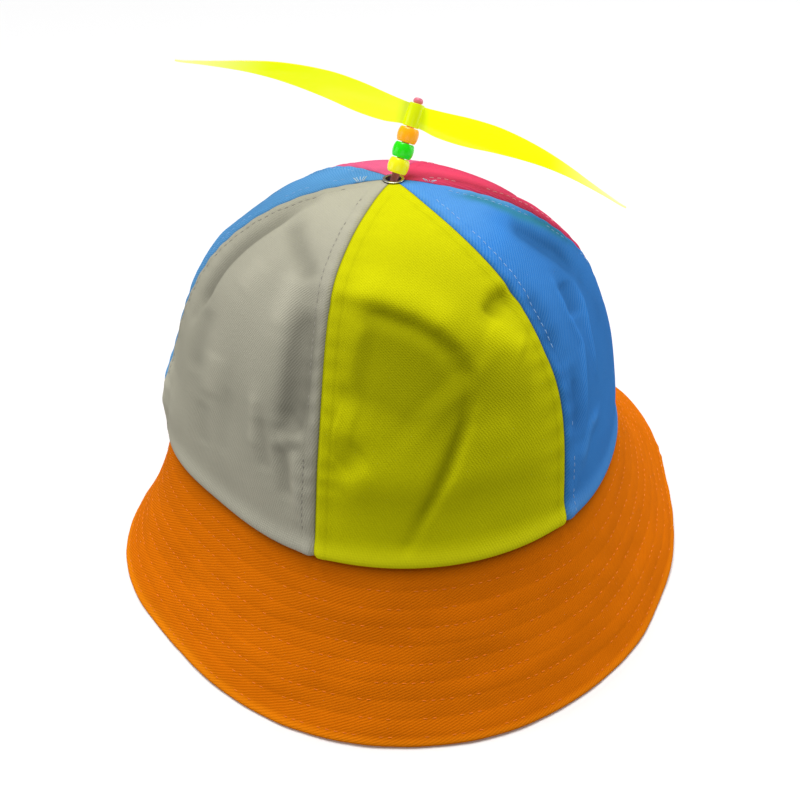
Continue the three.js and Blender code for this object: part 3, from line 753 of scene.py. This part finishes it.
def brim_top(azimuth, distance):
    """Top side of the brim at a distance down its slope, and its direction, in place."""
    edge, outwards, slope_down, slope_out, width = brim_frame(azimuth)
    share = distance / width
    hollow = around("hollow", azimuth) * BRIM_WIDTH * 4 * share * (1 - share)
    out = distance * slope_out - hollow * slope_down
    down = distance * slope_down + hollow * slope_out
    up = np.array([0, 0, 1.0])
    normal = unit(outwards * slope_down[..., None] + up * slope_out[..., None])
    point = CENTRE + edge + outwards * out[..., None]
    point[..., 2] = CROWN_BASE - GAP - down
    return point, normal


def brim_relief(azimuth, distance, point):
    """Stitched channels, softness and the seam across the brim."""
    from_edge = BRIM_WIDTH - distance
    row = (from_edge - HEM_OFFSET) / ROW_SPACING
    in_rows = smoothstep(row, -0.6, -0.1) * (1 - smoothstep(row, ROW_COUNT - 0.9, ROW_COUNT - 0.4))
    beside = np.abs(row - np.round(row)) * ROW_SPACING
    dip = ROW_DIP * np.exp(-(beside / ROW_DIP_WIDTH) ** 2) * in_rows
    quilt = QUILTING * (0.5 - 0.5 * np.cos(2 * math.pi * row)) * in_rows
    stretched = point * np.array([1, 1, 2.5])
    ripple = BRIM_SOFTNESS * soft_noise(stretched, 34 * MM, 1.9)
    small = BRIM_SMALL_SOFTNESS * soft_noise(point, 9 * MM, 5.3)
    hem = HEM_RISE * smoothstep(-row, 0.1, 0.4)
    from_seam = np.radians(signed_turn(azimuth - BRIM_SEAM_AZIMUTH)) * (CROWN_RADIUS + distance * 0.4)
    seam = BRIM_SEAM_DIP * np.exp(-(from_seam / (0.8 * MM)) ** 2)
    seam_side = 0.3 * MM * np.exp(-((np.abs(from_seam) - 2.5 * MM) / (1.5 * MM)) ** 2)
    near_crown = smoothstep(distance, 0, 6 * MM)
    return quilt - dip + hem + (ripple + small) * near_crown - seam + seam_side


def brim_painted_light(azimuth, distance):
    """Painted shadow of the crown beside it; painted light on the bound edge, most at the hat's right,
    towards the light.
    """
    # Painted shadow of the crown's hem on the brim
    shade = 0.8 * np.exp(-(distance / (1.3 * MM)) ** 2)
    # Painted light, strongest on the side towards the light
    right = np.exp(-((np.mod(azimuth, 360) - 292) / 34) ** 2)
    edge = smoothstep(distance, BRIM_WIDTH - (5 + 4 * right) * MM, BRIM_WIDTH - 1.5 * MM)
    return edge * (0.7 + 0.3 * right) - shade


def brim_section_points(azimuth):
    """Rings of the closed section of the brim, from the crown out, round the edge and back."""
    _, outwards, slope_down, slope_out, width = brim_frame(azimuth)
    half = BRIM_THICKNESS / 2
    last = width - half * (1 + slope_out) / slope_down
    rings, texture = [], []
    for share in np.linspace(0, 1, BRIM_ROWS + 1):
        distance = last * share
        point, normal = brim_top(azimuth, distance)
        rings.append(point + normal * brim_relief(azimuth, distance, point)[..., None])
        texture.append(distance)
    end, normal = brim_top(azimuth, last)
    relief = brim_relief(azimuth, last, end)[..., None]
    outward = outwards * slope_out[..., None] - np.array([0, 0, 1.0]) * slope_down[..., None]
    middle = end - normal * half
    for step in range(1, BRIM_EDGE_STEPS + 1):
        turn = math.pi * step / BRIM_EDGE_STEPS
        fade = (1 + math.cos(turn)) / 2
        rings.append(middle + (normal * math.cos(turn) + outward * math.sin(turn)) * half
                     + normal * relief * fade)
        texture.append(last + half * turn)
    for share in np.linspace(1, 0, BRIM_UNDER_ROWS + 1)[1:]:
        distance = last * (0.02 + 0.98 * share)
        point, normal = brim_top(azimuth, distance)
        relief = brim_relief(azimuth, distance, point)
        rings.append(point - normal * (BRIM_THICKNESS - 0.5 * relief)[..., None])
        texture.append(2 * BRIM_WIDTH - distance)
    inside = CROWN_WALL + GAP
    collar_rise = np.full_like(azimuth, rise_at(COLLAR_HEIGHT))
    for depth, height in ((inside + COLLAR_THICKNESS, 1), (inside, 1), (inside, 0)):
        rise = collar_rise * height
        normal = dome_normal(azimuth, rise)
        dip = SEAM_DEPTH * 1.2
        point = CENTRE + dome(azimuth, rise) - normal * (depth + dip)
        point[..., 2] = CROWN_BASE + COLLAR_HEIGHT * height - (1 - height) * GAP
        rings.append(point)
        texture.append(2 * BRIM_WIDTH + COLLAR_HEIGHT * height)
    texture = [np.broadcast_to(down, azimuth.shape) for down in texture]
    return np.stack(rings, axis=1), np.stack(texture, axis=1)


def make_brim():
    azimuth = np.linspace(0, 360, BRIM_COLUMNS, endpoint=False)
    points, texture = brim_section_points(azimuth)
    columns, rings = points.shape[:2]
    a = np.arange(columns)[:, None]
    k = np.arange(rings)[None, :]
    a2, k2 = (a + 1) % columns, (k + 1) % rings
    faces = [a * rings + k, a * rings + k2, a2 * rings + k2, a2 * rings + k]
    faces = np.stack(faces, axis=-1).reshape(-1, 4)
    turns = [a + 0 * k, a + 0 * k, a + 1 + 0 * k, a + 1 + 0 * k]
    across = np.stack(turns, axis=-1).reshape(-1, 4) / columns * 2 * math.pi * TWILL_RADIUS
    down = texture.reshape(-1)[faces]
    corner_uv = np.stack([across, down], axis=-1)
    piece = add_mesh("brim_cloth", points.reshape(-1, 3), faces, "hat", ["brim"], corner_uv)
    top_and_edge = np.arange(rings) <= BRIM_ROWS + BRIM_EDGE_STEPS
    add_values(piece, "tone", np.where(top_and_edge, brim_painted_light(azimuth[:, None], texture), 0))
    return piece


def make_brim_stitches():
    rows = []
    for row in range(ROW_COUNT):
        distance = BRIM_WIDTH - HEM_OFFSET - row * ROW_SPACING
        azimuth = np.linspace(0, 360, 1441)
        reach = np.full_like(azimuth, distance)
        point, normal = brim_top(azimuth, reach)
        path = point + normal * brim_relief(azimuth, reach, point)[..., None]
        length = distances(path)[-1]
        count = int(length / STITCH_PITCH)
        places = np.arange(count) * length / count
        rows.append(stitches_along(path, normal, places, STITCH_LENGTH * 0.75, 7 * MM, 12.3, -0.08))
    return make_rows("brim_stitches", rows, THREAD_RADIUS * 0.7)


# Eyelet, stick, beads and propeller

def make_eyelet():
    under = EYELET_HALF - FLANGE_THICKNESS
    ring = rounded([
        (EYELET_BORE, -EYELET_HALF), (FLANGE_RADIUS, -EYELET_HALF), (FLANGE_RADIUS, -under),
        (BARREL_RADIUS, -under), (BARREL_RADIUS, under),
        (FLANGE_RADIUS, under), (FLANGE_RADIUS, EYELET_HALF), (EYELET_BORE, EYELET_HALF),
    ], EYELET_ROUNDING)
    vertices, faces = turned_mesh(ring, 72)
    return add_mesh("eyelet_ring", vertices + EYELET, faces, "hat", ["eyelet"])


def make_stick():
    thin = 0.02 * MM
    outline = [(thin, -SEAT - STOP_THICKNESS)]
    outline += rounded([(STOP_RADIUS, -SEAT - STOP_THICKNESS), (STOP_RADIUS, -SEAT)], 0.3 * MM)
    outline += [(STICK_RADIUS, -SEAT), (STICK_RADIUS, TIP_START), (TIP_RADIUS * 0.97, TIP_START)]
    steps = 12
    for i in range(1, steps):
        turn = i / steps * math.pi / 2
        height = TIP_HEIGHT * (0.25 + 0.75 * math.sin(turn))
        outline.append((TIP_RADIUS * math.cos(turn) ** 0.6, TIP_START + height))
    outline.append((thin, TIP_START + TIP_HEIGHT))
    vertices, faces = turned_mesh(outline, 40)
    piece = add_mesh("stick_rod", on_axis(vertices, EYELET, STICK_AXIS), faces, "hat", ["stick"])
    # Painted shade on the stick below the lowest bead, down in the eyelet
    add_values(piece, "tone", smoothstep(vertices[:, 2], SEAT, SEAT + BEAD_HEIGHT) - 1)
    return piece


def make_bead(name, place):
    start = SEAT + place * (BEAD_HEIGHT + GAP)
    side = []
    steps = 18
    for i in range(steps + 1):
        share = i / steps
        swell = math.sin(math.pi * share) ** 0.5
        side.append((BEAD_END + (BEAD_RADIUS - BEAD_END) * swell, start + BEAD_HEIGHT * share))
    hole = [(STICK_BORE + 0.25 * MM, start + BEAD_HEIGHT), (STICK_BORE, start + BEAD_HEIGHT - 0.25 * MM),
            (STICK_BORE, start + 0.25 * MM), (STICK_BORE + 0.25 * MM, start)]
    vertices, faces = turned_mesh(side + hole, 56)
    return add_mesh(name + "_barrel", on_axis(vertices, EYELET, STICK_AXIS), faces, "hat", [name])


def blade_numbers(reach):
    """Chord, pitch and rise at a share of the reach, averaged over its surroundings."""
    table = np.array(BLADE)
    spread = 0.045 * min(1, max(reach - 0.04, 0) / 0.1)
    nearby = np.clip(reach + np.linspace(-spread, spread, 9), 0, 1)
    return [np.interp(nearby, table[:, 0], table[:, column]).mean() for column in (1, 2, 3)]


def blade_mesh():
    """One blade along +X, from inside the hub's wall to its tip."""
    stations, half_points = 90, 14
    places = -0.5 * np.cos(np.linspace(0, math.pi, half_points))
    loop = []
    for reach in np.linspace(1.9 * MM / BLADE_REACH, 1, stations):
        chord, pitch, rise = blade_numbers(reach)
        turn = math.radians(pitch)
        across = np.array([0, math.cos(turn), math.sin(turn)])
        face = np.array([0, -math.sin(turn), math.cos(turn)])
        middle = np.array([reach * BLADE_REACH, 0, rise * HUB_LENGTH])
        width = chord * BLADE_CHORD
        bow = BLADE_CAMBER * chord * (1 - 4 * places ** 2)
        thick = BLADE_THICKNESS / 2 * min(1, 0.4 + chord) * (1 - 0.55 * (2 * np.abs(places)) ** 4)
        lower = middle + across * (places * width)[:, None] + face * (bow - thick)[:, None]
        upper = middle + across * (places * width)[:, None] + face * (bow + thick)[:, None]
        loop.append(np.concatenate([lower, upper[::-1]]))
    count = 2 * half_points
    vertices = np.concatenate(loop)
    faces = []
    for s in range(stations - 1):
        for k in range(count):
            k2 = (k + 1) % count
            faces.append((s * count + k, s * count + k2, (s + 1) * count + k2, (s + 1) * count + k))
    faces.append(tuple(range(count))[::-1])
    faces.append(tuple((stations - 1) * count + k for k in range(count)))
    return vertices, faces


def make_propeller():
    """Hub sleeve and two blades joined into one moulded body, then bored."""
    tube = rounded([(STICK_BORE, 0), (HUB_BOTTOM_RADIUS, 0), (HUB_TOP_RADIUS, HUB_LENGTH),
                    (STICK_BORE, HUB_LENGTH)], 0.35 * MM)
    hub = plain_object("propeller_moulding", *turned_mesh(tube, 56))
    vertices, faces = blade_mesh()
    half_turn = vertices * np.array([-1, -1, 1])
    for blade_vertices in (vertices, half_turn):
        blade = plain_object("blade_tool", blade_vertices, faces)
        join = hub.modifiers.new("join", "BOOLEAN")
        join.operation = "UNION"
        join.solver = "EXACT"
        join.object = blade
        depsgraph = bpy.context.evaluated_depsgraph_get()
        joined = bpy.data.meshes.new_from_object(hub.evaluated_get(depsgraph))
        hub.modifiers.clear()
        hub.data = joined
        bpy.data.objects.remove(blade)
    raw = np.array([v.co for v in hub.data.vertices])
    placed = on_axis(raw, EYELET + STICK_AXIS * HUB_START, STICK_AXIS, math.radians(PROPELLER_TURN))
    hub.data.vertices.foreach_set("co", placed.astype(np.float32).ravel())
    hub.data.polygons.foreach_set("use_smooth", [True] * len(hub.data.polygons))
    hub.data.set_sharp_from_angle(angle=math.radians(50))
    hub.data.update()
    # Painted light on the blade tips, and painted shade round the hub, where the stick shows darker through
    # the plastic
    from_axis = np.hypot(raw[:, 0], raw[:, 1])
    near_hub = 1 - smoothstep(from_axis, HUB_BOTTOM_RADIUS, HUB_BOTTOM_RADIUS + 4 * MM)
    add_values(hub, "tone", smoothstep(from_axis, 0.6 * BLADE_REACH, BLADE_REACH) - 0.42 * near_hub)
    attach(hub, "propeller")
    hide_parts("propeller")
    return hub


# Materials

def new_material(name):
    material = bpy.data.materials.new(name)
    material.use_nodes = True
    nodes = material.node_tree.nodes
    return material, nodes, material.node_tree.links, nodes["Principled BSDF"]


def maths(nodes, links, operation, first, second=None, third=None):
    node = nodes.new("ShaderNodeMath")
    node.operation = operation
    for socket, value in zip(node.inputs, (first, second, third)):
        if value is None:
            continue
        if isinstance(value, (int, float)):
            socket.default_value = value
        else:
            links.new(value, socket)
    return node.outputs[0]


def noise_node(nodes, links, coordinates, scale, detail=3.0):
    node = nodes.new("ShaderNodeTexNoise")
    node.inputs["Scale"].default_value = scale
    node.inputs["Detail"].default_value = detail
    links.new(coordinates, node.inputs["Vector"])
    return node.outputs["Fac"]


def mix_colour(nodes, links, factor, first, second):
    node = nodes.new("ShaderNodeMix")
    node.data_type = "RGBA"
    sockets = [s for s in node.inputs if s.type == "RGBA"]
    links.new(factor, node.inputs["Factor"])
    for socket, value in zip(sockets, (first, second)):
        if isinstance(value, tuple):
            socket.default_value = (*value, 1.0)
        else:
            links.new(value, socket)
    return [s for s in node.outputs if s.type == "RGBA"][0]


def object_place(nodes):
    return nodes.new("ShaderNodeTexCoord").outputs["Object"]


def add_bump(nodes, links, shader, height, strength, distance):
    raised = nodes.new("ShaderNodeBump")
    raised.inputs["Strength"].default_value = strength
    raised.inputs["Distance"].default_value = distance
    links.new(height, raised.inputs["Height"])
    links.new(raised.outputs[0], shader.inputs["Normal"])


def vertex_value(nodes, name):
    node = nodes.new("ShaderNodeAttribute")
    node.attribute_name = name
    return node.outputs["Fac"]


def with_painted_light(nodes, links, colour, bright, darkest):
    """A colour with painted shade where the vertices' tone is under 0 and painted light where it is over."""
    tone = vertex_value(nodes, "tone")
    dark = mix_colour(nodes, links, maths(nodes, links, "MULTIPLY", tone, -darkest), colour, (0, 0, 0))
    return mix_colour(nodes, links, maths(nodes, links, "MULTIPLY", tone, BRIGHTEST), dark, bright)


def twill(name, colour, shade, light, angle, pitch=TWILL_PITCH):
    """Cotton twill: diagonal ribs of yarn, broken across, with uneven dye and some fuzz."""
    material, nodes, links, shader = new_material(name)
    uv = nodes.new("ShaderNodeUVMap")
    uv.uv_map = "cloth"
    split = nodes.new("ShaderNodeSeparateXYZ")
    links.new(uv.outputs[0], split.inputs[0])
    u, v = split.outputs[0], split.outputs[1]
    place = object_place(nodes)
    wobble = maths(nodes, links, "MULTIPLY", noise_node(nodes, links, place, 160), 0.9 * MM)
    turn = math.radians(angle)
    c, s = math.cos(turn) / pitch, math.sin(turn) / pitch
    part = maths(nodes, links, "MULTIPLY", v, s)
    across = maths(nodes, links, "MULTIPLY_ADD", u, c, part)
    across = maths(nodes, links, "ADD", across, maths(nodes, links, "DIVIDE", wobble, pitch))
    rib = maths(nodes, links, "SINE", maths(nodes, links, "MULTIPLY", across, 2 * math.pi))
    rib = maths(nodes, links, "MULTIPLY_ADD", rib, 0.5, 0.5)
    yarn = maths(nodes, links, "SINE", maths(nodes, links, "MULTIPLY", v, 2 * math.pi / YARN_PITCH))
    yarn = maths(nodes, links, "MULTIPLY_ADD", yarn, 0.5, 0.5)
    fuzz = noise_node(nodes, links, place, 2600, 2.0)
    weave = maths(nodes, links, "MULTIPLY_ADD", yarn, 0.25, maths(nodes, links, "MULTIPLY", rib, 0.75))
    weave = maths(nodes, links, "MULTIPLY_ADD", fuzz, 0.9, weave)
    dye = noise_node(nodes, links, place, 55, 4.0)
    base = mix_colour(nodes, links, maths(nodes, links, "MULTIPLY_ADD", dye, 1.1, -0.05), shade, colour)
    strength = maths(nodes, links, "MULTIPLY_ADD", weave, 0.38, -0.1)
    # Painted shade and painted highlight from the vertices' tone
    woven = with_painted_light(nodes, links, mix_colour(nodes, links, strength, base, light), light, CLOTH_DARKEST)
    if name == "panel_blue_twill":
        # The blade's painted shadow on the blue panel
        blade_shadow = maths(nodes, links, "MULTIPLY", vertex_value(nodes, "blade_shadow"), 0.75)
        woven = mix_colour(nodes, links, blade_shadow, woven, BLADE_SHADOW_TEAL)
    links.new(woven, shader.inputs["Base Color"])
    add_bump(nodes, links, shader, weave, 0.45, 0.22 * MM)
    rough = maths(nodes, links, "MULTIPLY_ADD", fuzz, 0.12, 0.84)
    links.new(rough, shader.inputs["Roughness"])
    shader.inputs["Specular IOR Level"].default_value = 0.03
    return material


def thread(name, colour, light):
    """Twisted sewing thread."""
    material, nodes, links, shader = new_material(name)
    place = object_place(nodes)
    strands = noise_node(nodes, links, place, 3400, 1.0)
    links.new(mix_colour(nodes, links, strands, colour, light), shader.inputs["Base Color"])
    add_bump(nodes, links, shader, strands, 0.4, 0.1 * MM)
    shader.inputs["Roughness"].default_value = 0.7
    return material


def moulded(name, colour, deep, painted_glow, coat=0.15, roughness=0.22, painted_highlight=None):
    """Glossy moulded plastic with faint flow marks, and painted light: it glows in its own colour."""
    material, nodes, links, shader = new_material(name)
    place = object_place(nodes)
    flow = noise_node(nodes, links, place, 120, 3.0)
    base = with_painted_light(nodes, links, mix_colour(nodes, links, flow, deep, colour), painted_highlight or colour, PLASTIC_DARKEST)
    links.new(base, shader.inputs["Base Color"])
    fine = noise_node(nodes, links, place, 900, 2.0)
    links.new(maths(nodes, links, "MULTIPLY_ADD", fine, 0.12, roughness), shader.inputs["Roughness"])
    add_bump(nodes, links, shader, flow, 0.12, 0.2 * MM)
    shader.inputs["Specular IOR Level"].default_value = 0.3
    shader.inputs["Coat Weight"].default_value = coat
    shader.inputs["Coat Roughness"].default_value = 0.08
    # Painted light: the plastic glows in its own colour, though it is no lamp
    links.new(base, shader.inputs["Emission Color"])
    shader.inputs["Emission Strength"].default_value = painted_glow
    return material


def plated(name):
    """Pressed plated metal with fine scratches."""
    material, nodes, links, shader = new_material(name)
    place = object_place(nodes)
    marks = noise_node(nodes, links, place, 1800, 4.0)
    base = mix_colour(nodes, links, marks, PLATING_DULL, PLATING_BRIGHT)
    links.new(base, shader.inputs["Base Color"])
    links.new(maths(nodes, links, "MULTIPLY_ADD", marks, 0.25, 0.15), shader.inputs["Roughness"])
    add_bump(nodes, links, shader, marks, 0.2, 0.05 * MM)
    shader.inputs["Metallic"].default_value = 1.0
    return material


# The whole hat

def coat(piece, material):
    piece.data.materials.append(material)


def make_crown():
    for index, name in enumerate(PANELS):
        coat(make_panel(index), twill(name + "_twill", *CLOTH[name]))
        if name in THREADS:
            coat(make_topstitch(index), thread(name + "_thread", *THREADS[name]))
    coat(make_loose_threads(2, 0.905), thread("white_thread", *WHITE_THREAD))
    coat(make_loose_threads(5, 0.91), thread("pale_blue_thread", *PALE_BLUE_THREAD))


def make_stitched_brim():
    coat(make_brim(), twill("brim_twill", *CLOTH["brim"], pitch=BRIM_TWILL_PITCH))
    coat(make_brim_stitches(), thread("brim_thread", *THREADS["brim"]))


def make_fittings():
    coat(make_eyelet(), plated("eyelet_plating"))
    # The numbers after the colours are the strength of each plastic's painted glow
    coat(make_stick(), moulded("stick_plastic", *STICK, 0.22))
    for place, (name, colours) in enumerate(BEADS.items()):
        coat(make_bead(name, place), moulded(name + "_plastic", *colours, 0.42))
    propeller = make_propeller()
    propeller.data.materials.clear()
    coat(propeller, moulded("propeller_plastic", *PROPELLER, 0.8, 0.05, 0.14, PROPELLER_TIP_PAINTED_LIGHT))


# Camera, light and floor

def set_camera():
    back = np.array([
        math.sin(CAMERA_AZIMUTH) * math.cos(CAMERA_ELEVATION),
        -math.cos(CAMERA_AZIMUTH) * math.cos(CAMERA_ELEVATION),
        math.sin(CAMERA_ELEVATION),
    ])
    data = bpy.data.cameras.new("camera")
    data.lens = CAMERA_LENS
    data.sensor_width = CAMERA_SENSOR
    camera = bpy.data.objects.new("camera", data)
    camera.location = TARGET + back * CAMERA_DISTANCE
    camera.rotation_mode = "QUATERNION"
    camera.rotation_quaternion = Vector(-back).to_track_quat("-Z", "Y")
    bpy.context.scene.collection.objects.link(camera)
    bpy.context.scene.camera = camera


def area_light(name, place, size, power):
    data = bpy.data.lights.new(name, "AREA")
    data.shape = "SQUARE"
    data.size = size
    data.energy = power
    light = bpy.data.objects.new(name, data)
    light.location = place
    direction = Vector(LIGHT_AIM) - Vector(place)
    light.rotation_mode = "QUATERNION"
    light.rotation_quaternion = direction.to_track_quat("-Z", "Y")
    bpy.context.scene.collection.objects.link(light)
    return light


def sun_light(name, towards, strength, softness):
    """Even light from a direction, with the softness of a source that many degrees wide."""
    data = bpy.data.lights.new(name, "SUN")
    data.energy = strength
    data.angle = math.radians(softness)
    light = bpy.data.objects.new(name, data)
    light.rotation_mode = "QUATERNION"
    light.rotation_quaternion = Vector(towards).to_track_quat("Z", "Y")
    bpy.context.scene.collection.objects.link(light)
    return light


def set_lights():
    sun_light("overhead", (-0.05, 0.14, 1.0), 2.7, 34)
    area_light("left_panel", (-0.9, 0.0, 0.35), 0.6, 2.0)
    area_light("right_panel", (0.9, 0.0, 0.35), 0.6, 2.6)
    area_light("front_panel", (-0.25, -0.95, 0.2), 0.7, 1.65)
    world = bpy.data.worlds.new("studio")
    world.use_nodes = True
    background = world.node_tree.nodes["Background"]
    background.inputs["Color"].default_value = (1, 1, 1, 1)
    background.inputs["Strength"].default_value = WORLD_LIGHT
    bpy.context.scene.world = world
    bpy.context.scene.view_settings.view_transform = "Standard"


def make_floor():
    corners = [(-FLOOR, -FLOOR, 0), (FLOOR, -FLOOR, 0), (FLOOR, FLOOR, 0), (-FLOOR, FLOOR, 0)]
    floor = plain_object("floor", np.array(corners), [(0, 1, 2, 3)])
    material, _, _, shader = new_material("floor_paper")
    shader.inputs["Base Color"].default_value = FLOOR_COLOUR
    shader.inputs["Roughness"].default_value = 0.9
    floor.data.materials.append(material)
    # It lights nothing, so the hat's sides stay as dark as they are in the photograph
    floor.visible_diffuse = False


make_crown()
make_stitched_brim()
make_fittings()
set_camera()
set_lights()
make_floor()
